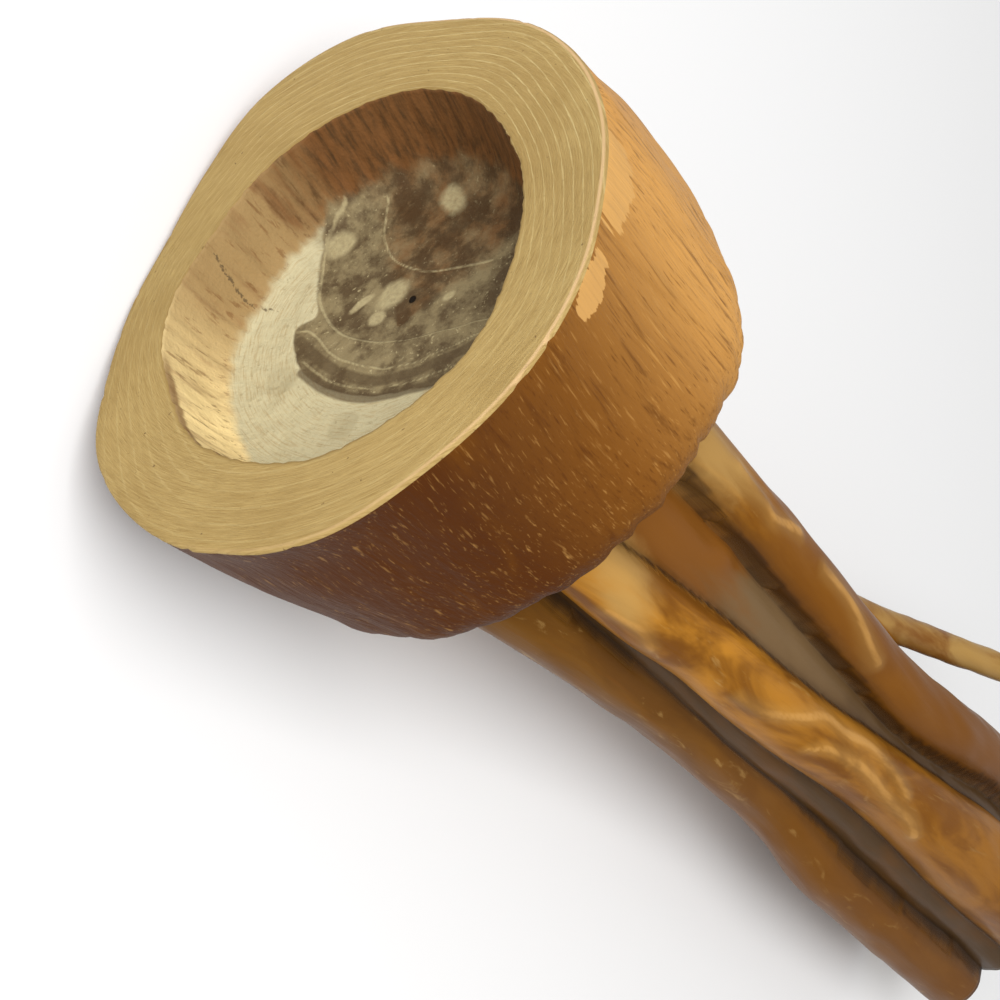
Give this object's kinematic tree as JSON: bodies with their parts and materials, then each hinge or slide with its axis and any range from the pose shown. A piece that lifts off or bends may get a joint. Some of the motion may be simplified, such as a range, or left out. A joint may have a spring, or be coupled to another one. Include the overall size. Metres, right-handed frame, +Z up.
{
  "type": "twisted branch with a hollowed head",
  "caption": "Twisted branch of fused stems that runs out of a sawn log head, with a round hollow cut into the head's end grain.",
  "frame": {"origin": "middle of the footprint of the branch as it lies on its side, on the surface it lies on", "axes": "+Y along the length, from the sawn rim to the far end; +Z up from the surface it lies on; +X to the right, seen from the rim"},
  "size_m": [0.213, 0.5578, 0.1617],
  "materials": {
    "varnished_wood": "satin amber varnish on the outside, bare pale straw end grain on the sawn rim and in the hollow"
  },
  "bodies": {
    "root": {"twisted_branch": "varnished_wood"}
  },
  "joints": []
}
